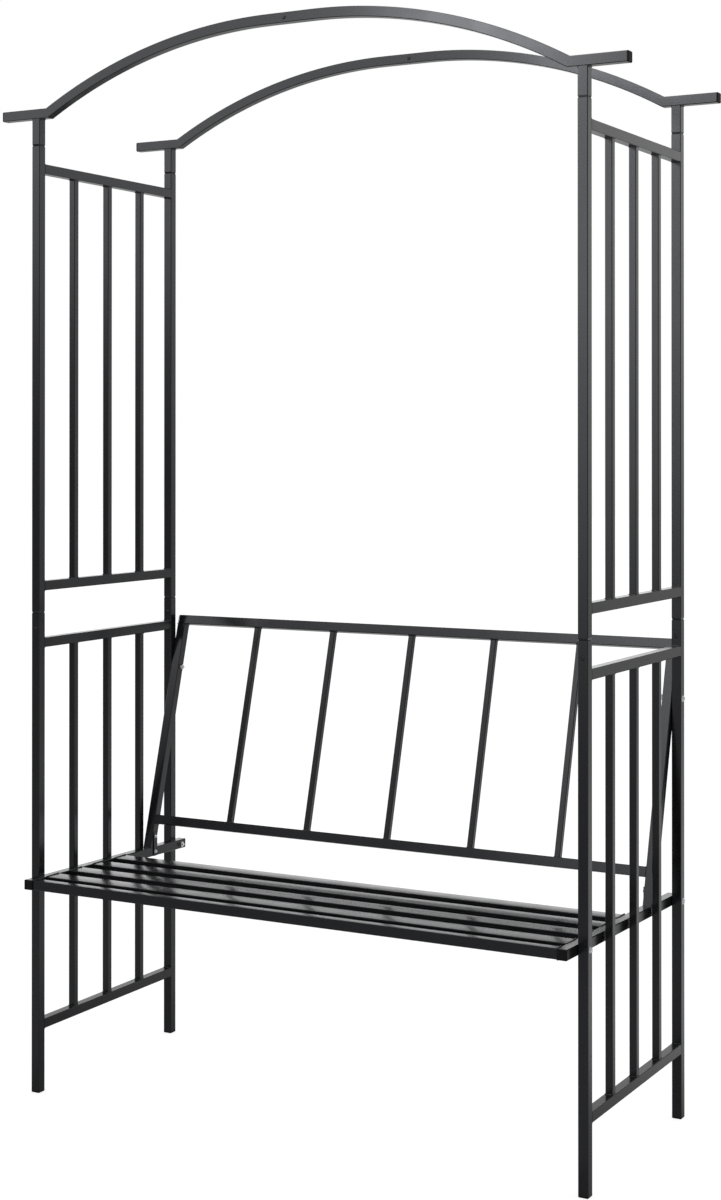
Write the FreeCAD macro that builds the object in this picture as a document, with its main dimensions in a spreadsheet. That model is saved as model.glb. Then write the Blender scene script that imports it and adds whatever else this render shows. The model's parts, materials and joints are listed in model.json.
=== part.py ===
import FreeCAD, Part
import math
import os
import Sketcher

# Garden rose arch with a bench: square steel tube, welded side panels and plug-in joints.
# Frame: +Z up, the front towards -Y, left and right as seen from the front, right towards +X.
# The origin lies on the ground in the middle of the bounding box. Lengths are millimetres
# and angles are degrees.

SIZES = {
    # square tube of posts, rails, seat frame, backrest frame and arches; the bevel is its rolled corner
    "tube": 19, "wall": 1, "bevel": 1.2,
    # lighter sections
    "side_bar": 14, "back_bar": 12, "slat_width": 40,
    # posts and arches
    "height": 2070, "arch_rise": 133, "crown_flat": 47, "kink_span": 1112, "arch_span": 1326,
    "post_span": 1160, "post_depth": 460, "mid_joint": 943, "arch_leg": 54,
    # plug-in joints: a swaged tube end goes into the tube that it meets
    "spigot": 45, "spigot_bevel": 0.6, "neck": 4, "collar": 6, "fit_gap": 0.3,
    # upper faces of the side rails, the last below the top joint, and the bars between them
    "low_rail": 142, "arm_rail": 894, "high_rail": 1006, "top_rail_drop": 34, "side_bar_pitch": 115,
    # seat: its height is that of the arms over the front bolts, and it slopes down to the rear
    "seat_height": 427.5, "seat_slope": 0.97, "seat_overhang": 44, "arm_tail": 10,
    "slat_pitch": 75.5, "front_gap": 24,
    # backrest, measured along its slope from the seat, and the straps that hold its feet
    "back_lean": 15.6, "back_length": 501.6, "back_foot": 113.8, "back_low_rail": 70.6,
    "back_bar_pitch": 185, "strap": 2, "strap_width": 12, "strap_end": 9,
    # plastic plugs
    "flange": 3, "insert": 12, "plug_edge": 1, "recess": 10, "recess_depth": 8,
    # bolts and nuts
    "bolt": 6, "bolt_head": 12, "head_height": 3.6, "bolt_gap": 0.2, "bolt_end": 3,
    "nut": 10, "nut_height": 5,
    # self-tapping screws, and their places from the joint or along the slope
    "screw": 3.8, "screw_gap": 0.1, "screw_head": 8, "screw_head_height": 2.4, "screw_length": 9,
    "joint_screw": 30, "crown_screw": 10, "foot_screw": 26,
}
SLATS = 4
BACK_BARS = 5
SIDE_BARS = 3
HEAD_TAPER = 0.6

doc = FreeCAD.newDocument("arbour_seat")
sheet = doc.addObject("Spreadsheet::Sheet", "Sizes")
for row, (alias, size) in enumerate(SIZES.items(), start=1):
    sheet.set(f"A{row}", alias)
    sheet.set(f"B{row}", str(size))
    sheet.setAlias(f"B{row}", alias)
doc.recompute()

# Formulas that several pieces share, made of the sheet's cells
TUBE = "Sizes.tube"
HALF = "(Sizes.tube / 2)"
BORE = "(Sizes.tube - 2 * Sizes.wall)"
SPIGOT = "(Sizes.tube - 2 * Sizes.wall - 2 * Sizes.fit_gap)"
SPIGOT_BORE = "(Sizes.tube - 4 * Sizes.wall - 2 * Sizes.fit_gap)"
POST_X = "(Sizes.post_span / 2)"
RAIL_X = "(Sizes.post_span / 2 - Sizes.tube)"
SEAT_WIDTH = f"(2 * {RAIL_X} - Sizes.tube)"
ARM_FRONT = "(Sizes.seat_overhang + Sizes.tube / 2)"
ARM_REAR = "(Sizes.post_depth / cos(Sizes.seat_slope) + Sizes.tube / 2 + Sizes.arm_tail - Sizes.flange)"
FRONT_REACH = (
    f"(({ARM_FRONT} + Sizes.flange) * cos(Sizes.seat_slope)"
    " + (Sizes.tube / 2 - Sizes.plug_edge) * sin(Sizes.seat_slope))"
)
BACK_REACH = (
    "(Sizes.back_length * sin(Sizes.back_lean) + Sizes.tube * cos(Sizes.back_lean)"
    " - Sizes.bevel * sin(Sizes.back_lean) - Sizes.back_foot)"
)
FRONT_POST_Y = f"(({FRONT_REACH} - Sizes.post_depth - {BACK_REACH}) / 2)"
BACK_POST_Y = f"(({FRONT_REACH} + Sizes.post_depth - {BACK_REACH}) / 2)"
MIDDLE_Y = f"(({FRONT_REACH} - {BACK_REACH}) / 2)"
SEAT_BOLT_Z = "(Sizes.seat_height - Sizes.tube / 2)"
REAR_BOLT_Z = f"({SEAT_BOLT_Z} - Sizes.post_depth * tan(Sizes.seat_slope))"
FOOT_Y = f"({BACK_POST_Y} - Sizes.back_foot)"
FOOT_Z = (
    f"({SEAT_BOLT_Z} + {HALF} / cos(Sizes.seat_slope)"
    " - (Sizes.post_depth - Sizes.back_foot) * tan(Sizes.seat_slope))"
)
BACK_BOLT_SLOPE = "((Sizes.back_foot - Sizes.tube / 2 * cos(Sizes.back_lean)) / sin(Sizes.back_lean))"
FLAT_TOP = "(Sizes.height - Sizes.arch_rise)"
TOP_JOINT = f"({FLAT_TOP} - Sizes.tube - Sizes.arch_leg)"
TOP_RAIL = f"({TOP_JOINT} - Sizes.top_rail_drop)"
KINK_X = "(Sizes.kink_span / 2)"
ARC_RUN = "(Sizes.kink_span / 2 - Sizes.crown_flat)"
ARC_RADIUS = f"(({ARC_RUN} ^ 2 + Sizes.arch_rise ^ 2) / (2 * Sizes.arch_rise))"
ARC_CENTRELINE = f"({ARC_RADIUS} - {HALF})"
ARC_ANGLE = f"asin({ARC_RUN} / {ARC_RADIUS})"
HOLE = "(Sizes.bolt + 2 * Sizes.bolt_gap)"
SCREW_HOLE = "(Sizes.screw + 2 * Sizes.screw_gap)"

SIDES = (("left", -1), ("right", 1))
ROWS = (("front", FRONT_POST_Y), ("rear", BACK_POST_Y))
SEAT_BOLTS = {"front": SEAT_BOLT_Z, "rear": REAR_BOLT_Z}
X_AXIS = (1, 0, 0)
Y_AXIS = (0, 1, 0)
Z_AXIS = (0, 0, 1)

parts = []


def seat_y(along):
    """Where a point of a seat arm's centre line lies front to back, from the front bolt."""
    return f"({FRONT_POST_Y} + {along} * cos(Sizes.seat_slope))"


def seat_z(along):
    """How high a point of a seat arm's centre line lies."""
    return f"({SEAT_BOLT_Z} - {along} * sin(Sizes.seat_slope))"


def slope_y(along, across):
    """Where a point of the leaning backrest lies front to back."""
    return f"({FOOT_Y} + {across} * cos(Sizes.back_lean) + {along} * sin(Sizes.back_lean))"


def slope_z(along, across):
    """How high a point of the leaning backrest lies."""
    return f"({FOOT_Z} - {across} * sin(Sizes.back_lean) + {along} * cos(Sizes.back_lean))"


def keep(item, label):
    """Give a finished sub-part its name and put it on the list of files to write."""
    item.Label = label
    parts.append(item)
    return item


def group(label, items):
    """Like small pieces share one name as separate solids."""
    compound = doc.addObject("Part::Compound", label)
    compound.Links = items
    return keep(compound, label)


def place(item, x="0", y="0", z="0", axis=Z_AXIS, angle="0"):
    """Tie a sub-part's position and turn to the sheet."""
    item.Placement = FreeCAD.Placement(FreeCAD.Vector(), FreeCAD.Rotation(FreeCAD.Vector(*axis), 1))
    item.setExpression("Placement.Base.x", x)
    item.setExpression("Placement.Base.y", y)
    item.setExpression("Placement.Base.z", z)
    item.setExpression("Placement.Rotation.Angle", angle)
    return item


def new_body(name):
    return doc.addObject("PartDesign::Body", name)


def new_sketch(body, name, role, x="0", y="0", offset="0", turn="0"):
    """A sketch on one of the body's own planes, moved in that plane and along its normal."""
    sketch = body.newObject("Sketcher::SketchObject", name)
    sketch.AttachmentSupport = (next(o for o in body.Origin.OriginFeatures if o.Role == role), [""])
    sketch.MapMode = "FlatFace"
    sketch.setExpression("AttachmentOffset.Base.x", x)
    sketch.setExpression("AttachmentOffset.Base.y", y)
    sketch.setExpression("AttachmentOffset.Base.z", offset)
    if turn != "0":
        sketch.AttachmentOffset.Rotation = FreeCAD.Rotation(FreeCAD.Vector(*Z_AXIS), 1)
        sketch.setExpression("AttachmentOffset.Rotation.Angle", turn)
    return sketch


def constrain(sketch, *words):
    return sketch.addConstraint(Sketcher.Constraint(*words))


def bind(sketch, formula, *words, rough=10):
    """A dimension of the sketch, tied to the sheet, from a rough first value."""
    index = constrain(sketch, *words, rough)
    sketch.setExpression(f"Constraints[{index}]", formula)


def add_line(sketch, begin, end):
    return sketch.addGeometry(Part.LineSegment(FreeCAD.Vector(*begin), FreeCAD.Vector(*end)))


def draw_rectangle(sketch, across, up):
    """A sharp rectangle about the sketch's origin."""
    corners = [(-8, -8), (8, -8), (8, 8), (-8, 8)]
    lines = [add_line(sketch, corners[i], corners[(i + 1) % 4]) for i in range(4)]
    for i in range(4):
        constrain(sketch, "Coincident", lines[i], 2, lines[(i + 1) % 4], 1)
    for i in (0, 2):
        constrain(sketch, "Horizontal", lines[i])
        constrain(sketch, "Vertical", lines[i + 1])
    constrain(sketch, "Symmetric", lines[0], 1, lines[2], 1, -1, 1)
    bind(sketch, across, "DistanceX", lines[0], 1, lines[0], 2, rough=16)
    bind(sketch, up, "DistanceY", lines[1], 1, lines[1], 2, rough=16)


def draw_circle(sketch, x, y, diameter):
    circle = sketch.addGeometry(Part.Circle(FreeCAD.Vector(5, 5), FreeCAD.Vector(*Z_AXIS), 2))
    bind(sketch, x, "DistanceX", -1, 1, circle, 3)
    bind(sketch, y, "DistanceY", -1, 1, circle, 3)
    bind(sketch, diameter, "Diameter", circle)


def draw_polygon(sketch, points):
    """A closed outline through points whose coordinates are formulas."""
    count = len(points)
    rough = [(10 * math.cos(i), 10 * math.sin(i)) for i in range(count)]
    lines = [add_line(sketch, rough[i], rough[(i + 1) % count]) for i in range(count)]
    for i, (x, y) in enumerate(points):
        constrain(sketch, "Coincident", lines[i], 2, lines[(i + 1) % count], 1)
        bind(sketch, x, "DistanceX", -1, 1, lines[i], 1)
        bind(sketch, y, "DistanceY", -1, 1, lines[i], 1)


def draw_bar(sketch, across=TUBE, up=TUBE, bevel="Sizes.bevel"):
    """A rectangle with bevelled corners about the sketch's origin."""
    points = []
    for x_sign, y_sign in ((1, 1), (-1, 1), (-1, -1), (1, -1)):
        near = (f"{x_sign} * ({across} / 2 - {bevel})", f"{y_sign} * {up} / 2")
        far = (f"{x_sign} * {across} / 2", f"{y_sign} * ({up} / 2 - {bevel})")
        points += (far, near) if x_sign == y_sign else (near, far)
    draw_polygon(sketch, points)


def draw_tube(sketch, across=TUBE, up=TUBE):
    """The hollow section of a rectangular tube."""
    draw_bar(sketch, across, up)
    draw_rectangle(sketch, f"{across} - 2 * Sizes.wall", f"{up} - 2 * Sizes.wall")


def pad(body, name, sketch, length, reverse=False, middle=False):
    feature = body.newObject("PartDesign::Pad", name)
    feature.Profile = sketch
    feature.setExpression("Length", length)
    feature.Reversed = reverse
    feature.Midplane = middle
    return feature


def cut(body, name, sketch, length=None, reverse=False, both=False):
    """A pocket against the sketch's normal, as far as the material goes unless told otherwise."""
    feature = body.newObject("PartDesign::Pocket", name)
    feature.Profile = sketch
    feature.Reversed = reverse
    if length is None:
        feature.Type = "ThroughAll"
        feature.Midplane = both
    else:
        feature.setExpression("Length", length)
    return feature


def drill(body, name, role, x, y, diameter, **how):
    """A round hole square to one of the body's planes."""
    sketch = new_sketch(body, name + "_outline", role)
    draw_circle(sketch, x, y, diameter)
    return cut(body, name, sketch, **how)


def plain_tube(name, length, start="0"):
    """A straight tube along its own Z axis."""
    body = new_body(name)
    section = new_sketch(body, name + "_section", "XY_Plane", offset=start)
    draw_tube(section)
    pad(body, name + "_tube", section, length)
    return body


def plug_in_tube(name, length):
    """A tube whose lower end is swaged to go into the tube below, which ends at its origin."""
    body = new_body(name)
    narrow = new_sketch(body, name + "_swage", "XY_Plane")
    draw_bar(narrow, SPIGOT, SPIGOT, "Sizes.spigot_bevel")
    pad(body, name + "_spigot", narrow, "Sizes.spigot", reverse=True)
    small = new_sketch(body, name + "_neck_foot", "XY_Plane")
    draw_bar(small, SPIGOT, SPIGOT, "Sizes.spigot_bevel")
    wide = new_sketch(body, name + "_neck_top", "XY_Plane", offset="Sizes.neck")
    draw_bar(wide)
    neck = body.newObject("PartDesign::AdditiveLoft", name + "_neck")
    neck.Profile = small
    neck.Sections = [wide]
    neck.Ruled = True
    section = new_sketch(body, name + "_section", "XY_Plane", offset="Sizes.neck")
    draw_bar(section)
    pad(body, name + "_tube", section, f"{length} - Sizes.neck")
    inner = "Sizes.neck + 2 * Sizes.wall"
    wide_bore = new_sketch(body, name + "_bore_outline", "XY_Plane", offset=inner)
    draw_rectangle(wide_bore, BORE, BORE)
    cut(body, name + "_bore", wide_bore, reverse=True)
    small_bore = new_sketch(body, name + "_small_bore_outline", "XY_Plane", offset=inner)
    draw_rectangle(small_bore, SPIGOT_BORE, SPIGOT_BORE)
    cut(body, name + "_small_bore", small_bore)
    return body


def mitre_outline(sketch, top, side):
    """What a cut along the kink's mitre takes away, on the side of the arch or of its flat end."""
    over = "Sizes.wall"
    half_angle = f"({ARC_ANGLE} / 2)"
    far = f"({KINK_X} + {side} * 3 * Sizes.tube)"
    foot_x = f"({KINK_X} - Sizes.tube * tan({half_angle}))"
    draw_polygon(sketch, [
        (f"{KINK_X} + {over} * sin({half_angle})", f"{top} + {over} * cos({half_angle})"),
        (f"{foot_x} - {over} * sin({half_angle})", f"{top} - {TUBE} - {over} * cos({half_angle})"),
        (far, f"{top} - 3 * {TUBE}"),
        (far, f"{top} + {TUBE}"),
    ])


def draw_arch_path(sketch):
    """The centre line of half an arch: flat at the crown, then the arc, then straight past the kink."""
    flat = SIZES["crown_flat"]
    run = SIZES["kink_span"] / 2 - flat
    outer = (run ** 2 + SIZES["arch_rise"] ** 2) / (2 * SIZES["arch_rise"])
    radius = outer - SIZES["tube"] / 2
    angle = math.asin(run / outer)
    kink = (flat + radius * math.sin(angle), radius * math.cos(angle))
    end = (kink[0] + SIZES["tube"] * math.cos(angle), kink[1] - SIZES["tube"] * math.sin(angle))
    end_x = f"Sizes.crown_flat + {ARC_CENTRELINE} * sin({ARC_ANGLE}) + Sizes.tube * cos({ARC_ANGLE})"
    end_y = f"{ARC_CENTRELINE} * cos({ARC_ANGLE}) - Sizes.tube * sin({ARC_ANGLE})"
    circle = Part.Circle(FreeCAD.Vector(flat, 0), FreeCAD.Vector(*Z_AXIS), radius)
    crown = add_line(sketch, (0, radius), (flat, radius))
    arc = sketch.addGeometry(Part.ArcOfCircle(circle, math.pi / 2 - angle, math.pi / 2))
    tail = add_line(sketch, kink, end)
    constrain(sketch, "PointOnObject", crown, 1, -2)
    constrain(sketch, "Horizontal", crown)
    constrain(sketch, "Coincident", crown, 2, arc, 2)
    constrain(sketch, "Coincident", arc, 1, tail, 1)
    constrain(sketch, "PointOnObject", arc, 3, -1)
    bind(sketch, ARC_CENTRELINE, "DistanceY", -1, 1, crown, 1, rough=radius)
    bind(sketch, "Sizes.crown_flat", "DistanceX", -1, 1, crown, 2, rough=flat)
    bind(sketch, "Sizes.crown_flat", "DistanceX", -1, 1, arc, 3, rough=flat)
    bind(sketch, f"Sizes.crown_flat + {ARC_CENTRELINE} * sin({ARC_ANGLE})", "DistanceX", -1, 1, arc, 1,
         rough=kink[0])
    bind(sketch, end_x, "DistanceX", -1, 1, tail, 2, rough=end[0])
    bind(sketch, end_y, "DistanceY", -1, 1, tail, 2, rough=end[1])


def arch_half(name, spigot, half_turn):
    """The curved half of an arch from the crown's seam to the kink, with the arc's centre as origin."""
    body = new_body(name)
    path = new_sketch(body, name + "_path", "XZ_Plane")
    draw_arch_path(path)
    section = new_sketch(body, name + "_section", "YZ_Plane", y=ARC_CENTRELINE)
    draw_tube(section)
    sweep = body.newObject("PartDesign::AdditivePipe", name + "_sweep")
    sweep.Profile = section
    sweep.Spine = path
    mitre = new_sketch(body, name + "_mitre_outline", "XZ_Plane")
    mitre_outline(mitre, f"{ARC_RADIUS} - Sizes.arch_rise", 1)
    cut(body, name + "_mitre", mitre, both=True)
    if spigot:
        swage = new_sketch(body, name + "_swage", "YZ_Plane", y=ARC_CENTRELINE)
        draw_bar(swage, SPIGOT, SPIGOT, "Sizes.spigot_bevel")
        collar = new_sketch(body, name + "_collar_section", "YZ_Plane", y=ARC_CENTRELINE)
        draw_bar(collar)
        pad(body, name + "_collar", collar, "Sizes.collar")
        pad(body, name + "_spigot", swage, "Sizes.spigot", reverse=True)
        bore = new_sketch(body, name + "_bore_outline", "YZ_Plane", y=ARC_CENTRELINE, offset="Sizes.collar")
        draw_rectangle(bore, SPIGOT_BORE, SPIGOT_BORE)
        cut(body, name + "_bore", bore)
    screw_x = "-Sizes.crown_screw" if spigot else "Sizes.crown_screw"
    drill(body, name + "_screw_hole", "XZ_Plane", screw_x, ARC_CENTRELINE, SCREW_HOLE, reverse=not half_turn)
    return body


def arch_end(name):
    """The flat end outside the kink, with the middle of the arch's width and its own top as origin."""
    body = new_body(name)
    start = f"({KINK_X} - Sizes.tube * tan({ARC_ANGLE} / 2))"
    section = new_sketch(body, name + "_section", "YZ_Plane", y=f"-{HALF}", offset=start)
    draw_tube(section)
    pad(body, name + "_tube", section, f"Sizes.arch_span / 2 - Sizes.flange - {start}")
    mitre = new_sketch(body, name + "_mitre_outline", "XZ_Plane")
    mitre_outline(mitre, "0 * Sizes.tube", -1)
    cut(body, name + "_mitre", mitre, both=True)
    return body


def plug(name, turn="0", recess=False):
    """A square plug: its flange covers the tube's end, which is at its origin, and faces its own +Z."""
    body = new_body(name)
    cover = new_sketch(body, name + "_cover", "XY_Plane", turn=turn)
    draw_bar(cover)
    flange = pad(body, name + "_flange", cover, "Sizes.flange")
    doc.recompute()
    top = [f"Edge{i}" for i, edge in enumerate(flange.Shape.Edges, start=1)
           if edge.BoundBox.ZMin > flange.Shape.BoundBox.ZMax / 2]
    bevel = body.newObject("PartDesign::Chamfer", name + "_bevel")
    bevel.Base = (flange, top)
    bevel.setExpression("Size", "Sizes.plug_edge")
    leg = new_sketch(body, name + "_leg", "XY_Plane", turn=turn)
    draw_rectangle(leg, f"{BORE} - 2 * Sizes.fit_gap", f"{BORE} - 2 * Sizes.fit_gap")
    pad(body, name + "_insert", leg, "Sizes.insert", reverse=True)
    if recess:
        hollow = new_sketch(body, name + "_recess_outline", "XY_Plane", offset="Sizes.flange", turn=turn)
        draw_rectangle(hollow, "Sizes.recess", "Sizes.recess")
        cut(body, name + "_recess", hollow, length="Sizes.recess_depth")
    return body


def turned(name, points):
    """A solid of revolution about its own Z axis."""
    body = new_body(name)
    profile = new_sketch(body, name + "_profile", "XZ_Plane")
    draw_polygon(profile, points)
    turn = body.newObject("PartDesign::Revolution", name + "_turn")
    turn.Profile = profile
    turn.ReferenceAxis = (profile, ["V_Axis"])
    turn.Angle = 360
    return body


def headed(name, shank, length, head, head_height):
    """A bolt or screw with a low tapered head above its origin and its shank below."""
    return turned(name, [
        ("0", f"-{length}"),
        (f"{shank} / 2", f"-{length}"),
        (f"{shank} / 2", "0"),
        (f"{head} / 2", "0"),
        (f"{head} / 2 * {HEAD_TAPER}", head_height),
        ("0", head_height),
    ])


def screw(name):
    return headed(name, "Sizes.screw", "Sizes.screw_length", "Sizes.screw_head", "Sizes.screw_head_height")


def bolt(name):
    grip = "(2 * Sizes.tube + Sizes.nut_height + Sizes.bolt_end)"
    return headed(name, "Sizes.bolt", grip, "Sizes.bolt_head", "Sizes.head_height")


def nut(name):
    body = new_body(name)
    outline = new_sketch(body, name + "_outline", "XY_Plane")
    corner = "Sizes.nut / 2 / cos(30)"
    hexagon = [(f"{corner} * cos({60 * i})", f"{corner} * sin({60 * i})") for i in range(6)]
    draw_polygon(outline, hexagon)
    draw_circle(outline, "0", "0", "Sizes.bolt")
    pad(body, name + "_hexagon", outline, "Sizes.nut_height")
    return body


def lay(body, x="0"):
    """Set a piece of the seat on its slope, with the line of the front bolts as origin."""
    return place(body, x, FRONT_POST_Y, SEAT_BOLT_Z, X_AXIS, "-Sizes.seat_slope")


def lean(body, x="0"):
    """Stand a piece of the backrest on the seat, leaning back."""
    return place(body, x, FOOT_Y, FOOT_Z, X_AXIS, "-Sizes.back_lean")


def cut_foot(body, name):
    """Cut a leaning piece along the top of the seat."""
    tilt = "tan(Sizes.back_lean - Sizes.seat_slope)"
    outline = new_sketch(body, name + "_foot_outline", "YZ_Plane")
    draw_polygon(outline, [
        (f"-{TUBE}", f"-{TUBE} * {tilt}"),
        (f"2 * {TUBE}", f"2 * {TUBE} * {tilt}"),
        (f"2 * {TUBE}", f"-{TUBE}"),
        (f"-{TUBE}", f"-{TUBE}"),
    ])
    cut(body, name + "_foot", outline, both=True)



# Side panels: posts, rails and the upright bars between the rails
for side, sign in SIDES:
    post_x = f"{sign} * {POST_X}"
    for row, row_y in ROWS:
        name = f"{side}_{row}_lower_post"
        body = plain_tube(name, "Sizes.mid_joint - Sizes.flange", start="Sizes.flange")
        drill(body, name + "_seat_hole", "YZ_Plane", "0", SEAT_BOLTS[row], HOLE, both=True)
        if row == "rear":
            drill(body, name + "_back_hole", "YZ_Plane", "0", slope_z(BACK_BOLT_SLOPE, HALF), HOLE, both=True)
        drill(body, name + "_screw_hole", "XZ_Plane", "0", "Sizes.mid_joint - Sizes.joint_screw",
              SCREW_HOLE, reverse=True)
        keep(place(body, post_x, row_y), name)

        name = f"{side}_{row}_upper_post"
        body = plug_in_tube(name, f"({TOP_JOINT} - Sizes.mid_joint)")
        drill(body, name + "_screw_hole", "XZ_Plane", "0", "-Sizes.joint_screw", SCREW_HOLE, reverse=True)
        keep(place(body, post_x, row_y, "Sizes.mid_joint"), name)

        name = f"{side}_{row}_arch_leg"
        body = plug_in_tube(name, "Sizes.arch_leg")
        keep(place(body, post_x, row_y, TOP_JOINT), name)

    rails = {
        "lower_bottom_rail": "Sizes.low_rail",
        "lower_top_rail": "Sizes.arm_rail",
        "upper_bottom_rail": "Sizes.high_rail",
        "upper_top_rail": TOP_RAIL,
    }
    for rail, top in rails.items():
        name = f"{side}_{rail}"
        body = plain_tube(name, "Sizes.post_depth - Sizes.tube")
        place(body, post_x, f"{FRONT_POST_Y} + {HALF}", f"{top} - {HALF}", X_AXIS, "-90")
        keep(body, name)

    for level in ("lower", "upper"):
        foot = rails[f"{level}_bottom_rail"]
        head = rails[f"{level}_top_rail"]
        name = f"{side}_{level}_bars"
        body = new_body(name)
        first_y = f"-Sizes.side_bar_pitch * {(SIDE_BARS - 1) / 2}"
        section = new_sketch(body, name + "_section", "XY_Plane", y=first_y)
        draw_tube(section, "Sizes.side_bar", "Sizes.side_bar")
        first_bar = pad(body, name + "_first", section, f"{head} - {foot} - Sizes.tube")
        row_of_bars = body.newObject("PartDesign::LinearPattern", name + "_row")
        row_of_bars.Originals = [first_bar]
        row_of_bars.Direction = (section, ["V_Axis"])
        row_of_bars.setExpression("Length", f"{SIDE_BARS - 1} * Sizes.side_bar_pitch")
        row_of_bars.Occurrences = SIDE_BARS
        body.Tip = row_of_bars
        keep(place(body, post_x, MIDDLE_Y, foot), name)

# Arches: two alike, the rear one turned half round, so that each has one spigot at the crown
for row, row_y in ROWS:
    for side, sign in SIDES:
        half_turn = side == "left"
        angle = "180" if half_turn else "0"
        has_spigot = (row == "front") == (side == "right")
        name = f"{row}_arch_{side}_half"
        keep(place(arch_half(name, has_spigot, half_turn), "0", row_y, f"Sizes.height - {ARC_RADIUS}",
                   Z_AXIS, angle), name)
        name = f"{row}_arch_{side}_end"
        keep(place(arch_end(name), "0", row_y, FLAT_TOP, Z_AXIS, angle), name)

caps = []
for row, row_y in ROWS:
    for side, sign in SIDES:
        cap = plug(f"{row}_{side}_arch_cap")
        x = f"{sign} * (Sizes.arch_span / 2 - Sizes.flange)"
        caps.append(place(cap, x, row_y, f"{FLAT_TOP} - {HALF}", Y_AXIS, str(sign * 90)))
group("arch_end_caps", caps)

feet = []
for row, row_y in ROWS:
    for side, sign in SIDES:
        foot = plug(f"{row}_{side}_foot")
        feet.append(place(foot, f"{sign} * {POST_X}", row_y, "Sizes.flange", X_AXIS, "180"))
group("foot_plugs", feet)

joint_screws = []
for row, row_y in ROWS:
    for side, sign in SIDES:
        joint_screws.append(place(screw(f"{row}_{side}_joint_screw"), f"{sign} * {POST_X}", f"{row_y} - {HALF}",
                                  "Sizes.mid_joint - Sizes.joint_screw", X_AXIS, "90"))
group("post_joint_screws", joint_screws)

crown_screws = []
for (row, row_y), sign in zip(ROWS, (-1, 1)):
    crown_screws.append(place(screw(f"{row}_crown_screw"), f"{sign} * Sizes.crown_screw", f"{row_y} - {HALF}",
                              f"Sizes.height - {HALF}", X_AXIS, "90"))
group("crown_screws", crown_screws)

# Seat: two arms bolted to the posts, the front rail and the flat-set slats welded between them
foot_screw_y = slope_y("Sizes.foot_screw", HALF)
foot_screw_z = slope_z("Sizes.foot_screw", HALF)
arm_screw = f"(({foot_screw_y} - {FRONT_POST_Y}) / cos(Sizes.seat_slope))"
for side, sign in SIDES:
    name = f"seat_{side}_arm"
    arm = new_body(name)
    section = new_sketch(arm, name + "_section", "XZ_Plane", offset=ARM_FRONT)
    draw_tube(section)
    pad(arm, name + "_tube", section, f"{ARM_FRONT} + {ARM_REAR}", reverse=True)
    for row, along in (("front", "0"), ("rear", "Sizes.post_depth / cos(Sizes.seat_slope)")):
        drill(arm, f"{name}_{row}_hole", "YZ_Plane", along, "0", HOLE, both=True)
    drill(arm, name + "_screw_hole", "YZ_Plane", arm_screw, "0", SCREW_HOLE, reverse=sign < 0)
    keep(lay(arm, f"{sign} * {RAIL_X}"), name)

cross_tubes = [("seat_front_rail", TUBE, "-Sizes.seat_overhang")]
first_slat = f"({HALF} - Sizes.seat_overhang + Sizes.front_gap + Sizes.slat_width / 2)"
for i in range(SLATS):
    cross_tubes.append((f"seat_slat_{i + 1}", "Sizes.slat_width", f"{first_slat} + {i} * Sizes.slat_pitch"))
for name, width, along in cross_tubes:
    body = new_body(name)
    section = new_sketch(body, name + "_section", "YZ_Plane", x=along)
    draw_tube(section, width)
    pad(body, name + "_tube", section, SEAT_WIDTH, middle=True)
    keep(lay(body), name)

arm_plugs = []
for side, sign in SIDES:
    for end, along, angle in (("front", f"-{ARM_FRONT}", 90), ("rear", ARM_REAR, -90)):
        arm_plugs.append(place(plug(f"{side}_{end}_arm_plug"), f"{sign} * {RAIL_X}", seat_y(along),
                               seat_z(along), X_AXIS, f"{angle} - Sizes.seat_slope"))
group("seat_arm_plugs", arm_plugs)

# Backrest: a leaning frame whose side bars stand on the seat and are held there by upright straps
bar_top = "(Sizes.back_length - Sizes.tube)"
for side, sign in SIDES:
    name = f"backrest_{side}_bar"
    bar = new_body(name)
    section = new_sketch(bar, name + "_section", "XY_Plane", y=HALF)
    draw_tube(section)
    pad(bar, name + "_tube", section, bar_top)
    cut_foot(bar, name)
    drill(bar, name + "_bolt_hole", "YZ_Plane", HALF, BACK_BOLT_SLOPE, HOLE, both=True)
    drill(bar, name + "_screw_hole", "YZ_Plane", HALF, "Sizes.foot_screw", SCREW_HOLE, reverse=sign < 0)
    keep(lean(bar, f"{sign} * {RAIL_X}"), name)

top_rail = new_body("backrest_top_rail")
section = new_sketch(top_rail, "backrest_top_rail_section", "YZ_Plane", x=HALF, y=f"Sizes.back_length - {HALF}")
draw_tube(section)
pad(top_rail, "backrest_top_rail_tube", section, f"{SEAT_WIDTH} + 2 * (Sizes.tube - Sizes.flange)", middle=True)
keep(lean(top_rail), "backrest_top_rail")

low_rail = new_body("backrest_bottom_rail")
section = new_sketch(low_rail, "backrest_bottom_rail_section", "YZ_Plane", x=HALF,
                     y=f"Sizes.back_low_rail - {HALF}")
draw_tube(section)
pad(low_rail, "backrest_bottom_rail_tube", section, SEAT_WIDTH, middle=True)
keep(lean(low_rail), "backrest_bottom_rail")

for i in range(BACK_BARS):
    name = f"backrest_upright_{i + 1}"
    upright = new_body(name)
    section = new_sketch(upright, name + "_section", "XY_Plane", y=HALF, offset="Sizes.back_low_rail")
    draw_tube(section, "Sizes.back_bar", "Sizes.back_bar")
    pad(upright, name + "_tube", section, f"{bar_top} - Sizes.back_low_rail")
    keep(lean(upright, f"{i - (BACK_BARS - 1) / 2} * Sizes.back_bar_pitch"), name)

rail_middle = f"(Sizes.back_length - {HALF})"
rail_plugs = [
    place(plug(f"{side}_back_plug", turn=f"{-sign} * Sizes.back_lean", recess=True),
          f"{sign} * ({POST_X} - {HALF} - Sizes.flange)", slope_y(rail_middle, HALF),
          slope_z(rail_middle, HALF), Y_AXIS, str(sign * 90))
    for side, sign in SIDES
]
group("backrest_rail_plugs", rail_plugs)

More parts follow.
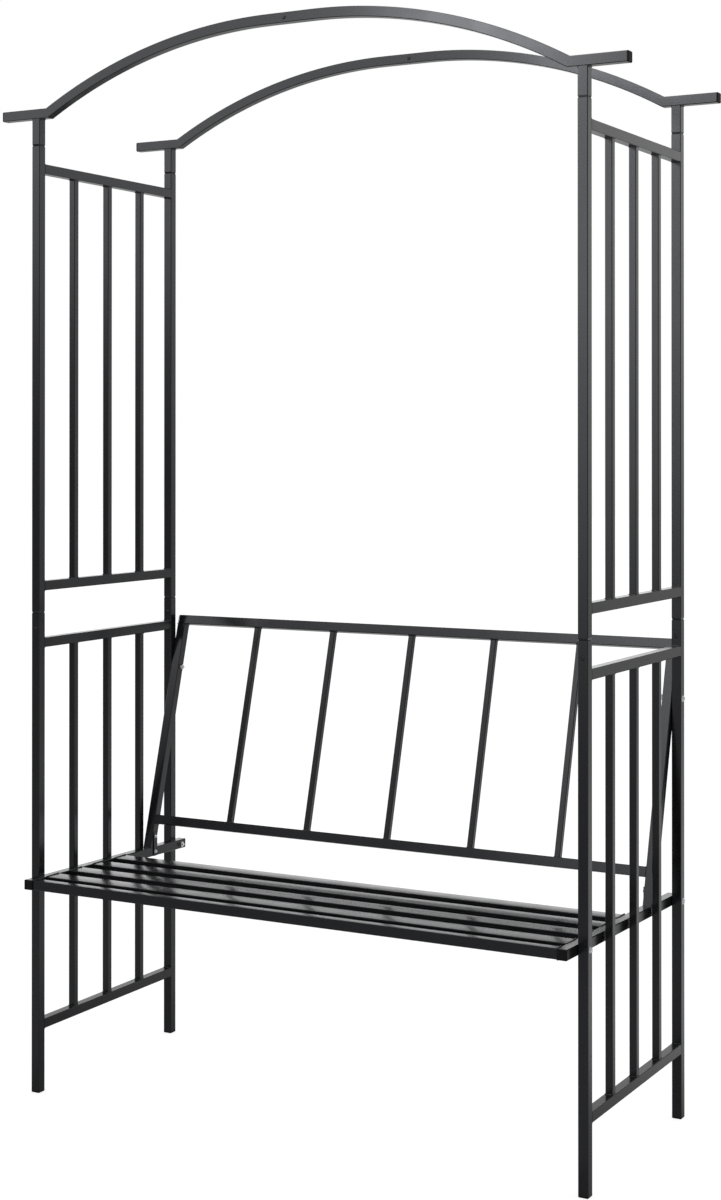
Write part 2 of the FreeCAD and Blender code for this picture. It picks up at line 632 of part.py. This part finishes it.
straps = []
foot_screws = []
strap_rise = f"({foot_screw_z} - {seat_z(arm_screw)})"
for side, sign in SIDES:
    name = f"{side}_strap"
    strap = new_body(name)
    section = new_sketch(strap, name + "_section", "XY_Plane", offset="-Sizes.strap_end")
    draw_rectangle(section, "Sizes.strap", "Sizes.strap_width")
    pad(strap, name + "_plate", section, f"{strap_rise} + 2 * Sizes.strap_end")
    strap_x = f"{sign} * ({RAIL_X} - {HALF} - Sizes.strap / 2)"
    straps.append(place(strap, strap_x, foot_screw_y, seat_z(arm_screw)))
    for place_name, up, z in (("arm", "0", seat_z(arm_screw)), ("bar", strap_rise, foot_screw_z)):
        drill(strap, f"{name}_{place_name}_hole", "YZ_Plane", "0", up, SCREW_HOLE, both=True)
        fixing = screw(f"{side}_{place_name}_screw")
        head_x = f"{sign} * ({RAIL_X} - {HALF} - Sizes.strap)"
        foot_screws.append(place(fixing, head_x, foot_screw_y, z, Y_AXIS, str(-sign * 90)))
group("backrest_foot_straps", straps)
group("backrest_foot_screws", foot_screws)

# Bolts through the posts: heads outside, nuts inside
bolt_places = [("seat", side, sign, row, row_y, SEAT_BOLTS[row]) for side, sign in SIDES
               for row, row_y in ROWS]
bolt_places += [("backrest", side, sign, "rear", BACK_POST_Y, slope_z(BACK_BOLT_SLOPE, HALF))
                for side, sign in SIDES]
bolts = {"seat": [], "backrest": []}
nuts = {"seat": [], "backrest": []}
for owner, side, sign, row, y, z in bolt_places:
    name = f"{owner}_{side}_{row}"
    angle = str(sign * 90)
    head_x = f"{sign} * ({POST_X} + {HALF})"
    bolts[owner].append(place(bolt(name + "_bolt"), head_x, y, z, Y_AXIS, angle))
    nut_x = f"{sign} * ({RAIL_X} - {HALF} - Sizes.nut_height)"
    nuts[owner].append(place(nut(name + "_nut"), nut_x, y, z, Y_AXIS, angle))
for owner in bolts:
    group(f"{owner}_bolts", bolts[owner])
    group(f"{owner}_nuts", nuts[owner])

doc.recompute()
failed = [item.Name for item in doc.Objects if "Invalid" in item.State or "Error" in item.State]
if failed:
    raise RuntimeError(f"failed: {failed}")
for part in parts:
    if part.Shape.isNull() or not part.Shape.isValid():
        raise RuntimeError(f"bad shape: {part.Label}")

os.makedirs("parts", exist_ok=True)
for part in parts:
    part.Shape.exportStep(f"parts/{part.Label}.step")
    print(f"{part.Label}: {len(part.Shape.Solids)} solids, {part.Shape.Volume:.0f} mm3")
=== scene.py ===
import json
import math

import bmesh
import bpy
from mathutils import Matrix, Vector


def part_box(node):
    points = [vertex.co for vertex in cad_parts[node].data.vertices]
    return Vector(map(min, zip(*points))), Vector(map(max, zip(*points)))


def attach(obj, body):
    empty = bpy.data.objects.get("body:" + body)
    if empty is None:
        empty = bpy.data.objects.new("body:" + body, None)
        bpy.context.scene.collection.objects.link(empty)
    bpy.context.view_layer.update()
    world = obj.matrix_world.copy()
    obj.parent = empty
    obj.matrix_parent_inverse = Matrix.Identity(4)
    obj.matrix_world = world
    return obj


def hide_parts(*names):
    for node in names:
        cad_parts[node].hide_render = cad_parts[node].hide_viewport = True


# The looks of the garden arch with a bench. Lengths are metres, in the frame of the CAD part:
# +Z up, the front towards -Y, the right side towards +X, the ground at Z = 0.

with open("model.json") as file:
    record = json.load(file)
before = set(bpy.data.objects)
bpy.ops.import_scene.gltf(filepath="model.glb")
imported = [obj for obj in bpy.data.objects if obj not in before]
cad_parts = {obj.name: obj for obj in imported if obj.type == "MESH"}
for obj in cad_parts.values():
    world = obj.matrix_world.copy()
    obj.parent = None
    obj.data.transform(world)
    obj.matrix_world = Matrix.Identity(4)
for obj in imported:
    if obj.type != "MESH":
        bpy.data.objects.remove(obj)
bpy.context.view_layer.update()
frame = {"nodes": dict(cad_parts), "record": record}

scene = bpy.context.scene
scene.view_settings.view_transform = "Standard"


# Node helpers

def node_material(name):
    """A new material with nodes, its principled shader and its node tree."""
    material = bpy.data.materials.new(name)
    material.use_nodes = True
    return material, material.node_tree.nodes["Principled BSDF"], material.node_tree


def add_node(tree, kind, **values):
    """A node with some of its inputs set."""
    node = tree.nodes.new(kind)
    for key, value in values.items():
        node.inputs[key].default_value = value
    return node


def split_place(tree, coordinates):
    """The three parts of a place or a direction."""
    place = tree.nodes.new("ShaderNodeTexCoord")
    axes = tree.nodes.new("ShaderNodeSeparateXYZ")
    tree.links.new(place.outputs[coordinates], axes.inputs["Vector"])
    return [axes.outputs[axis] for axis in "XYZ"]


def map_range(tree, source, low, high, to_low, to_high, soft=True):
    """A step between two values of a source, soft or straight."""
    step = tree.nodes.new("ShaderNodeMapRange")
    step.interpolation_type = "SMOOTHSTEP" if soft else "LINEAR"
    bounds = {"From Min": low, "From Max": high, "To Min": to_low, "To Max": to_high}
    for key, value in bounds.items():
        step.inputs[key].default_value = value
    tree.links.new(source, step.inputs["Value"])
    return step.outputs["Result"]


def calculate(tree, operation, *terms):
    """A math node of sockets and plain numbers."""
    node = tree.nodes.new("ShaderNodeMath")
    node.operation = operation
    for socket, term in zip(node.inputs, terms):
        if isinstance(term, (int, float)):
            socket.default_value = term
        else:
            tree.links.new(term, socket)
    return node.outputs["Value"]


def curve(tree, source, points, low=-1.0, high=1.0):
    """A value that follows straight lines through points, by a source between two bounds."""
    peak = max(value for _, value in points)
    ramp = tree.nodes.new("ShaderNodeValToRGB")
    stops = ramp.color_ramp.elements
    stops.remove(stops[1])
    for index, (place, value) in enumerate(points):
        share = (place - low) / (high - low)
        stop = stops[0] if index == 0 else stops.new(share)
        stop.position = share
        stop.color = (value / peak, value / peak, value / peak, 1)
    tree.links.new(map_range(tree, source, low, high, 0, 1, soft=False), ramp.inputs["Fac"])
    return calculate(tree, "MULTIPLY", ramp.outputs["Color"], peak)


def mix_values(tree, share, first, second):
    """The first value where the share is 0, the second where it is 1."""
    return calculate(tree, "MULTIPLY_ADD", calculate(tree, "SUBTRACT", second, first), share, first)


# Materials

BUMP_STRENGTH = 0.5
# The uneven gloss: clouds per metre, and the part of the noise's range that they use
CLOUDS = 14.0
CLOUD_LOW, CLOUD_HIGH = 0.3, 0.7


def grainy(name, color, metallic, roughness, grain_size, grain_depth, wear=0.0, tint=(1, 1, 1),
           shine=0.5):
    """A paint, plastic or metal with a fine grain, and a slightly uneven gloss where it is worn."""
    material, shader, tree = node_material(name)
    shader.inputs["Base Color"].default_value = (*color, 1)
    shader.inputs["Metallic"].default_value = metallic
    shader.inputs["Roughness"].default_value = roughness
    shader.inputs["Specular Tint"].default_value = (*tint, 1)
    shader.inputs["Specular IOR Level"].default_value = shine
    place = tree.nodes.new("ShaderNodeTexCoord")
    grain = add_node(tree, "ShaderNodeTexNoise", Scale=1 / grain_size, Detail=2.0, Roughness=0.5)
    tree.links.new(place.outputs["Object"], grain.inputs["Vector"])
    bump = add_node(tree, "ShaderNodeBump", Strength=BUMP_STRENGTH, Distance=grain_depth)
    tree.links.new(grain.outputs["Fac"], bump.inputs["Height"])
    tree.links.new(bump.outputs["Normal"], shader.inputs["Normal"])
    if wear:
        cloud = add_node(tree, "ShaderNodeTexNoise", Scale=CLOUDS, Detail=3.0, Roughness=0.6)
        tree.links.new(place.outputs["Object"], cloud.inputs["Vector"])
        gloss = map_range(tree, cloud.outputs["Fac"], CLOUD_LOW, CLOUD_HIGH,
                          roughness - wear, roughness + wear, soft=False)
        tree.links.new(gloss, shader.inputs["Roughness"])
    return material


MATERIALS = {
    "frame_paint": grainy("powder_coat", (0.006, 0.0062, 0.007), metallic=0.0, roughness=0.21,
                          grain_size=0.0012, grain_depth=0.000003, wear=0.03,
                          tint=(0.93, 0.945, 1.0)),
    "black_plastic": grainy("black_plastic", (0.005, 0.005, 0.0055), metallic=0.0, roughness=0.6,
                            grain_size=0.001, grain_depth=0.00002, shine=0.15),
    "grey_plastic": grainy("grey_plastic", (0.52, 0.53, 0.55), metallic=0.0, roughness=0.4,
                           grain_size=0.001, grain_depth=0.00002),
    "black_screw": grainy("black_steel", (0.012, 0.012, 0.013), metallic=0.0, roughness=0.3,
                          grain_size=0.001, grain_depth=0.00001),
    "zinc": grainy("zinc_plating", (0.8, 0.8, 0.81), metallic=1.0, roughness=0.22,
                   grain_size=0.001, grain_depth=0.00001, wear=0.05),
}


def paint_nodes():
    """Every CAD node in the material of its slot."""
    for entry in frame["record"]["subparts"]:
        node = frame["nodes"][entry["node"]]
        node.data.materials.clear()
        node.data.materials.append(MATERIALS[entry["material_slot"]])


# Mesh helpers

MERGE_DISTANCE = 1e-6
ACROSS = Vector((1, 0, 0))
ALONG = Vector((0, 1, 0))
UP = Vector((0, 0, 1))


def corners(node):
    """A node's lowest corner, highest corner and middle."""
    low, high = (Vector(corner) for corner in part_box(node))
    return low, high, (low + high) / 2


def merged_shape(node):
    """A node's mesh to work on, with its doubled points merged."""
    shape = bmesh.new()
    shape.from_mesh(frame["nodes"][node].data)
    bmesh.ops.remove_doubles(shape, verts=shape.verts, dist=MERGE_DISTANCE)
    return shape


def closed_mesh(name, points, faces):
    """A mesh of closed solids, with its faces turned outwards."""
    mesh = bpy.data.meshes.new(name)
    mesh.from_pydata(points, [], faces)
    shape = bmesh.new()
    shape.from_mesh(mesh)
    bmesh.ops.recalc_face_normals(shape, faces=shape.faces)
    shape.to_mesh(mesh)
    shape.free()
    return mesh


def add_rings(points, faces, rings):
    """Adds a closed solid that runs through rings of points, with a face on either end."""
    first, sides = len(points), len(rings[0])
    for ring in rings:
        points.extend(ring)
    last = first + (len(rings) - 1) * sides
    for here in range(first, last, sides):
        for corner in range(sides):
            after = (corner + 1) % sides
            faces.append((here + corner, here + after,
                          here + sides + after, here + sides + corner))
    faces.append(tuple(range(first + sides - 1, first - 1, -1)))
    faces.append(tuple(range(last, last + sides)))


def add_painted_piece(name, mesh):
    """A new piece of painted steel on the part's one body."""
    piece = bpy.data.objects.new(name, mesh)
    scene.collection.objects.link(piece)
    mesh.materials.append(MATERIALS["frame_paint"])
    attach(piece, "root")
    return piece


# The seat's flat-set tubes, with slightly crowned tops as rolled tube has

SLATS = [f"seat_slat_{number}" for number in range(1, 5)]
FRONT_RAIL = "seat_front_rail"
# How much the top drops, in metres per square metre from its middle line
SLAT_BEND, RAIL_BEND = 1.0, 3.0
CROWN_STRIPS = 12
SHARP_ANGLE = math.radians(20)


def crown_tube(name, bend):
    """A crowned copy of a flat-set tube, in its place."""
    low, high, middle = corners(name)
    shape = merged_shape(name)
    for strip in range(1, CROWN_STRIPS):
        cut = low.y + (high.y - low.y) * strip / CROWN_STRIPS
        everything = shape.verts[:] + shape.edges[:] + shape.faces[:]
        bmesh.ops.bisect_plane(shape, geom=everything, plane_co=(0, cut, 0), plane_no=ALONG)
    for vertex in shape.verts:
        if vertex.co.z > middle.z:
            vertex.co.z -= bend * (vertex.co.y - middle.y) ** 2
    for face in shape.faces:
        face.smooth = True
    mesh = bpy.data.meshes.new(name + "_crowned")
    shape.to_mesh(mesh)
    shape.free()
    mesh.set_sharp_from_angle(angle=SHARP_ANGLE)
    piece = add_painted_piece(name + "_crowned", mesh)
    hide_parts(name)


# Weld beads

BEAD_RADIUS = 0.0014
BEAD_SIDES = 8
RIPPLE_LENGTH = 0.0024
LEAST_RINGS = 4
# A line is taken as upright where this much of its direction points up
UPRIGHT_SHARE = 0.9
# The radius of a ripple's valley and of a bead's end, as shares of the full radius
VALLEY, TIP = 0.82, 0.45

# The backrest leans back
LEAN = math.radians(15.6)
LEAN_UP = Vector((0, math.sin(LEAN), math.cos(LEAN)))
LEAN_OUT = Vector((0, math.cos(LEAN), -math.sin(LEAN)))
BACKREST_UPRIGHTS = 5


def bead_rings(start, end):
    """The rings of a rippled bead along a line in an inner corner, half sunk in both pieces."""
    way = end - start
    side = way.cross(UP if abs(way.normalized().z) < UPRIGHT_SHARE else ALONG).normalized()
    over = way.cross(side).normalized()
    count = max(LEAST_RINGS, round(way.length / RIPPLE_LENGTH) * 2)
    rings = []
    for number in range(count + 1):
        share = TIP if number in (0, count) else 1.0 if number % 2 else VALLEY
        middle = start + way * (number / count)
        turns = [2 * math.pi * corner / BEAD_SIDES for corner in range(BEAD_SIDES)]
        rings.append([middle + (side * math.cos(turn) + over * math.sin(turn)) * BEAD_RADIUS * share
                      for turn in turns])
    return rings


def bead_pair(middle, along, half_length, apart, half_gap):
    """The lines of two parallel beads, one on each side of a bar's end."""
    places = [middle + apart * half_gap * sign for sign in (-1, 1)]
    return [(place - along * half_length, place + along * half_length) for place in places]


def bead_square(middle, first, second, half):
    """The lines of four beads round a square bar's end."""
    return (bead_pair(middle, first, half, second, half)
            + bead_pair(middle, second, half, first, half))


def add_welds(name, lines):
    """One piece that holds the beads of a group of joints."""
    points, faces = [], []
    for start, end in lines:
        add_rings(points, faces, bead_rings(start, end))
    mesh = closed_mesh(name, points, faces)
    for face in mesh.polygons:
        face.use_smooth = True
    add_painted_piece(name, mesh)


def panel_welds(side):
    """Round the bars' ends, and above and below the rails' ends."""
    lines = []
    for level in ("lower", "upper"):
        low, high, middle = corners(f"{side}_{level}_bars")
        half = (high.x - low.x) / 2
        for y in (low.y + half, middle.y, high.y - half):
            for z in (low.z, high.z):
                lines += bead_square(Vector((middle.x, y, z)), ACROSS, ALONG, half)
        for place in ("bottom", "top"):
            low, high, middle = corners(f"{side}_{level}_{place}_rail")
            for y in (low.y, high.y):
                lines += bead_pair(Vector((middle.x, y, middle.z)), ACROSS, (high.x - low.x) / 2,
                                   UP, (high.z - low.z) / 2)
    return lines


def leg_welds():
    """Left and right of each arch leg's top."""
    lines = []
    for side in ("left", "right"):
        for row in ("front", "rear"):
            low, high, middle = corners(f"{side}_{row}_arch_leg")
            half = (high.x - low.x) / 2
            lines += bead_pair(Vector((middle.x, middle.y, high.z)), ALONG, half, ACROSS, half)
    return lines


def seat_welds():
    """Above and below the ends of the slats and of the front rail."""
    lines = []
    for name in SLATS + [FRONT_RAIL]:
        low, high, middle = corners(name)
        for x in (low.x, high.x):
            lines += bead_pair(Vector((x, middle.y, middle.z)), ALONG, (high.y - low.y) / 2,
                               UP, (high.z - low.z) / 2)
    return lines


def backrest_welds():
    """Round the uprights' ends, beside the side bars' tops, and at the bottom rail's ends."""
    lines = []
    for number in range(1, BACKREST_UPRIGHTS + 1):
        low, high, middle = corners(f"backrest_upright_{number}")
        half = (high.x - low.x) / 2
        inset = Vector((0, half * math.cos(LEAN), half * math.sin(LEAN)))
        for corner, sign in ((low, 1), (high, -1)):
            place = Vector((middle.x, corner.y, corner.z)) + inset * sign
            lines += bead_square(place, ACROSS, LEAN_OUT, half)
    for side in ("left", "right"):
        low, high, middle = corners(f"backrest_{side}_bar")
        half = (high.x - low.x) / 2
        place = Vector((middle.x, high.y - half * math.cos(LEAN), high.z - half * math.sin(LEAN)))
        lines += bead_pair(place, LEAN_OUT, half, ACROSS, half)
    low, high, middle = corners("backrest_bottom_rail")
    half = (high.y - low.y) / 2 / (math.cos(LEAN) + math.sin(LEAN))
    for x in (low.x, high.x):
        lines += bead_pair(Vector((x, middle.y, middle.z)), LEAN_OUT, half, LEAN_UP, half)
    return lines


# Cross recesses in the screw heads

SCREWS = ("post_joint_screws", "crown_screws", "backrest_foot_screws")
RECESS_REACH, RECESS_HALF_WIDTH, RECESS_DEPTH = 0.0021, 0.0005, 0.0013
# The cross is wider outside the head than at its bottom
RECESS_WIDE, RECESS_NARROW = 1.15, 0.7
# Points this far out from the axis, as a share of the most, are on the head's rim
RIM = 0.95


def solids_of(node):
    """The separate solids of a node as lists of points, sorted by their lowest corners."""
    shape = merged_shape(node)
    left, found = set(shape.verts), []
    while left:
        queue, solid = [left.pop()], []
        while queue:
            vertex = queue.pop()
            solid.append(vertex.co.copy())
            for edge in vertex.link_edges:
                other = edge.other_vert(vertex)
                if other in left:
                    left.remove(other)
                    queue.append(other)
        found.append(solid)
    shape.free()

    def lowest_corner(solid):
        return tuple(round(min(point[axis] for point in solid), 5) for axis in range(3))

    return sorted(found, key=lowest_corner)


def head_of(solid):
    """A screw's middle, its axis, which way its head looks, and where the head's face is."""
    low = Vector([min(point[axis] for point in solid) for axis in range(3)])
    high = Vector([max(point[axis] for point in solid) for axis in range(3)])
    middle = (low + high) / 2
    axis = max(range(3), key=lambda i: high[i] - low[i])
    others = [i for i in range(3) if i != axis]
    radius = min(high[i] - low[i] for i in others) / 2
    rim = [point[axis] for point in solid
           if max(abs(point[i] - middle[i]) for i in others) > RIM * radius]
    out = 1 if sum(rim) / len(rim) > middle[axis] else -1
    return middle, axis, out, high[axis] if out > 0 else low[axis]


def cross_outline(reach, half):
    """The twelve corners of a cross: three of one arm, turned in quarters."""
    arm, outline = [(reach, -half), (reach, half), (half, half)], []
    for _ in range(4):
        outline += arm
        arm = [(-v, u) for u, v in arm]
    return outline


def cut_recesses(name):
    """A cross recess in each screw head of a node, cut by a hidden shape."""
    points, faces = [], []
    for solid in solids_of(name):
        middle, axis, out, face = head_of(solid)
        first, second = [direction for i, direction in enumerate((ACROSS, ALONG, UP)) if i != axis]
        rings = []
        for depth, scale in ((RECESS_DEPTH, RECESS_WIDE), (-RECESS_DEPTH, RECESS_NARROW)):
            ring = []
            for u, v in cross_outline(RECESS_REACH * scale, RECESS_HALF_WIDTH * scale):
                point = middle + first * u + second * v
                point[axis] = face + out * depth
                ring.append(point)
            rings.append(ring)
        add_rings(points, faces, rings)
    cutter = bpy.data.objects.new(name + "_recess", closed_mesh(name + "_recess", points, faces))
    scene.collection.objects.link(cutter)
    cutter.hide_render = True
    cutter.hide_viewport = True
    cut = frame["nodes"][name].modifiers.new("recess", "BOOLEAN")
    cut.object = cutter
    cut.solver = "EXACT"


# Camera, at the photo's place

CAMERA_PLACE = (1.8943, -3.4077, 1.2738)
CAMERA_TURN = (math.radians(90.27), 0, math.radians(28.76))
# In millimetres, along the picture's longer side
CAMERA_LENS, CAMERA_SENSOR = 60.508, 36
CAMERA_SHIFT = -0.13679


def make_camera():
    data = bpy.data.cameras.new("camera")
    camera = bpy.data.objects.new("camera", data)
    scene.collection.objects.link(camera)
    camera.location = CAMERA_PLACE
    camera.rotation_euler = CAMERA_TURN
    data.lens = CAMERA_LENS
    data.sensor_width = CAMERA_SENSOR
    data.shift_y = CAMERA_SHIFT
    scene.camera = camera


# World

# How bright the studio is behind the object, by the height of the line of sight
RIGHT_WALL_GLOW = ((-0.30, 0.45), (-0.02, 0.62), (0.06, 0.85), (0.13, 1.05), (0.19, 0.88),
                   (0.25, 0.62), (0.4, 0.4), (1.0, 0.45))
LEFT_WALL_GLOW = ((-0.30, 0.45), (-0.02, 0.62), (0.06, 1.15), (0.12, 1.6), (0.2, 1.5),
                  (0.24, 0.9), (0.28, 0.55), (0.4, 0.4), (1.0, 0.45))
# Where the left wall gives way to the right one, and the room to the wall, by the line of sight
LEFT_WALL_END, RIGHT_WALL_START = -0.2, 0.0
ROOM_END, WALL_START = -0.1, 0.25
ROOM_GLOW = 0.33
# What lights the object's own colours, and isn't seen in its gloss
FILL_GLOW = 1.0


def make_world():
    """White behind the object for the camera, and a dim room with brighter walls for its gloss."""
    world = bpy.data.worlds.new("studio")
    scene.world = world
    world.use_nodes = True
    tree = world.node_tree
    tree.nodes.clear()
    x, y, z = split_place(tree, "Generated")
    wall = mix_values(tree, map_range(tree, x, LEFT_WALL_END, RIGHT_WALL_START, 0, 1),
                      curve(tree, z, LEFT_WALL_GLOW), curve(tree, z, RIGHT_WALL_GLOW))
    behind = map_range(tree, y, ROOM_END, WALL_START, 0.0, 1.0)
    glow = calculate(tree, "MULTIPLY_ADD", calculate(tree, "SUBTRACT", wall, ROOM_GLOW), behind,
                     ROOM_GLOW)
    path = tree.nodes.new("ShaderNodeLightPath")
    glow = calculate(tree, "MULTIPLY_ADD", path.outputs["Is Diffuse Ray"], FILL_GLOW, glow)
    room = add_node(tree, "ShaderNodeBackground", Color=(1, 1, 1, 1))
    tree.links.new(glow, room.inputs["Strength"])
    white = add_node(tree, "ShaderNodeBackground", Color=(1, 1, 1, 1), Strength=1.0)
    mix = tree.nodes.new("ShaderNodeMixShader")
    tree.links.new(path.outputs["Is Camera Ray"], mix.inputs["Fac"])
    tree.links.new(room.outputs["Background"], mix.inputs[1])
    tree.links.new(white.outputs["Background"], mix.inputs[2])
    out = tree.nodes.new("ShaderNodeOutputWorld")
    tree.links.new(mix.outputs["Shader"], out.inputs["Surface"])


# Floor

FLOOR_SIZE, FLOOR_DROP = 60, 0.0005
FLOOR_COLOR, FLOOR_ROUGHNESS = 0.16, 0.9
# What the camera sees added, so that the floor is white outside the shadow
FLOOR_WHITE = 0.84
# How bright the gloss sees it: a painted glow, dimmer round the object as painted shade of it. Each
# line has two places, then the glow or share at the one and at the other: bright behind the object,
# a little in front, less in the middle and far to the right
FLOOR_GLOW_BEHIND = (0.1, 0.8, 0.14, 0.52)
FLOOR_GLOW_AHEAD = (-0.45, -0.3, 0.13, 0.0)
FLOOR_SHARE_INSIDE = (0.5, 0.95, 0.66, 1.0)
FLOOR_SHARE_ASIDE = (1.5, 3.0, 1.0, 0.5)


def make_floor():
    """A white studio floor that stays white for the camera, with the object's soft shadow."""
    bpy.ops.mesh.primitive_plane_add(size=FLOOR_SIZE, location=(0, 0, -FLOOR_DROP))
    floor = bpy.context.object
    floor.name = "floor"
    material, shader, tree = node_material("floor_white")
    shader.inputs["Base Color"].default_value = (FLOOR_COLOR, FLOOR_COLOR, FLOOR_COLOR, 1)
    shader.inputs["Roughness"].default_value = FLOOR_ROUGHNESS
    shader.inputs["Specular IOR Level"].default_value = 0.0
    x, y, _ = split_place(tree, "Object")
    share = calculate(tree, "MULTIPLY", map_range(tree, x, *FLOOR_SHARE_INSIDE),
                      map_range(tree, x, *FLOOR_SHARE_ASIDE))
    # A painted glow, seen only in the gloss, with painted shade of the object near it
    painted_floor_glow = calculate(tree, "MULTIPLY_ADD", map_range(tree, y, *FLOOR_GLOW_BEHIND), share,
                     map_range(tree, y, *FLOOR_GLOW_AHEAD))
    path = tree.nodes.new("ShaderNodeLightPath")
    painted_glow_in_gloss = calculate(tree, "MULTIPLY", painted_floor_glow, path.outputs["Is Glossy Ray"])
    strength = calculate(tree, "MULTIPLY_ADD", path.outputs["Is Camera Ray"], FLOOR_WHITE, painted_glow_in_gloss)
    glow = tree.nodes.new("ShaderNodeEmission")
    tree.links.new(strength, glow.inputs["Strength"])
    both = tree.nodes.new("ShaderNodeAddShader")
    tree.links.new(shader.outputs["BSDF"], both.inputs[0])
    tree.links.new(glow.outputs["Emission"], both.inputs[1])
    tree.links.new(both.outputs["Shader"], tree.nodes["Material Output"].inputs["Surface"])
    floor.data.materials.append(material)


# Soft boxes

# The front box stands at this Y, between these heights and these sides
BOX_Y = -2.0
BOX_LOW, BOX_HIGH = 0.02, 3.2
BOX_LEFT, BOX_RIGHT = -3.2, 0.7
# How it glows by height, in its left, middle and right part
LEFT_BOX_GLOW = ((0.0, 0.3), (0.5, 0.28), (0.9, 0.18), (1.3, 0.24), (1.5, 0.38), (1.65, 0.62),
                 (1.84, 1.35), (2.05, 1.85), (2.2, 2.1), (3.2, 2.0))
MIDDLE_BOX_GLOW = ((0.0, 0.3), (1.0, 0.3), (1.2, 0.45), (1.6, 0.65), (1.96, 0.95), (2.2, 1.5),
                   (2.45, 1.85), (3.2, 1.9))
RIGHT_BOX_GLOW = ((0.0, 0.33), (0.45, 0.4), (0.7, 0.6), (0.92, 1.0), (1.15, 1.4), (1.45, 1.9),
                  (1.6, 2.35), (1.75, 2.7), (2.35, 2.6), (3.2, 2.2))
# Where the parts blend, and where the right one fades to its edge
LEFT_TO_MIDDLE = (-1.95, -1.6)
MIDDLE_TO_RIGHT = (-1.0, -0.3)
FADE, FADE_TO = (0.1, 0.6), 0.2
# An oval hot spot, for the gleam on the front arch's crown
SPOT_X, SPOT_Z = -0.45, 2.42
SPOT_HALF_WIDTH, SPOT_HALF_HEIGHT = 0.4, 0.22
SPOT_GLOW = 7.0

TOP_BOX_PLACE = (0.4, 0.4, 5.0)
TOP_BOX_WIDTH, TOP_BOX_DEPTH = 3.0, 2.0
TOP_BOX_GLOW = 2.0


def hot_spot(tree, x, z):
    """A glow that fades out towards the edge of an oval."""
    aside = calculate(tree, "MULTIPLY", calculate(tree, "SUBTRACT", x, SPOT_X), 1 / SPOT_HALF_WIDTH)
    above = calculate(tree, "MULTIPLY", calculate(tree, "SUBTRACT", z, SPOT_Z),
                      1 / SPOT_HALF_HEIGHT)
    reach = calculate(tree, "ADD", calculate(tree, "POWER", aside, 2.0),
                      calculate(tree, "POWER", above, 2.0))
    return map_range(tree, reach, 0.0, 1.0, SPOT_GLOW, 0.0)


def make_front_box():
    """A wide soft box in front on the left, that the camera doesn't see."""
    middle = ((BOX_LEFT + BOX_RIGHT) / 2, BOX_Y, (BOX_LOW + BOX_HIGH) / 2)
    bpy.ops.mesh.primitive_plane_add(size=1, location=middle, rotation=(math.radians(90), 0, 0))
    box = bpy.context.object
    box.name = "front_box"
    box.scale = (BOX_RIGHT - BOX_LEFT, BOX_HIGH - BOX_LOW, 1)
    bpy.ops.object.transform_apply(location=True, rotation=True, scale=True)
    material, shader, tree = node_material("front_box_glow")
    tree.nodes.remove(shader)
    x, _, z = split_place(tree, "Object")
    left, middle, right = (curve(tree, z, points, 0.0, BOX_HIGH)
                           for points in (LEFT_BOX_GLOW, MIDDLE_BOX_GLOW, RIGHT_BOX_GLOW))
    glow = mix_values(tree, map_range(tree, x, *LEFT_TO_MIDDLE, 0, 1), left, middle)
    glow = mix_values(tree, map_range(tree, x, *MIDDLE_TO_RIGHT, 0, 1), glow, right)
    glow = calculate(tree, "MULTIPLY", glow, map_range(tree, x, *FADE, 1.0, FADE_TO))
    glow = calculate(tree, "ADD", glow, hot_spot(tree, x, z))
    light = tree.nodes.new("ShaderNodeEmission")
    tree.links.new(glow, light.inputs["Strength"])
    tree.links.new(light.outputs["Emission"], tree.nodes["Material Output"].inputs["Surface"])
    box.data.materials.append(material)
    box.visible_camera = False


def make_top_box():
    """An evenly glowing soft box above, that looks straight down."""
    data = bpy.data.lights.new("top_box", "AREA")
    data.shape = "RECTANGLE"
    data.size, data.size_y = TOP_BOX_WIDTH, TOP_BOX_DEPTH
    data.energy = TOP_BOX_GLOW * math.pi * TOP_BOX_WIDTH * TOP_BOX_DEPTH
    light = bpy.data.objects.new("top_box", data)
    scene.collection.objects.link(light)
    light.location = TOP_BOX_PLACE


paint_nodes()
for slat in SLATS:
    crown_tube(slat, SLAT_BEND)
crown_tube(FRONT_RAIL, RAIL_BEND)
add_welds("left_panel_welds", panel_welds("left"))
add_welds("right_panel_welds", panel_welds("right"))
add_welds("arch_welds", leg_welds())
add_welds("seat_welds", seat_welds())
add_welds("backrest_welds", backrest_welds())
for screws in SCREWS:
    cut_recesses(screws)

make_camera()
make_world()
make_floor()
make_front_box()
make_top_box()
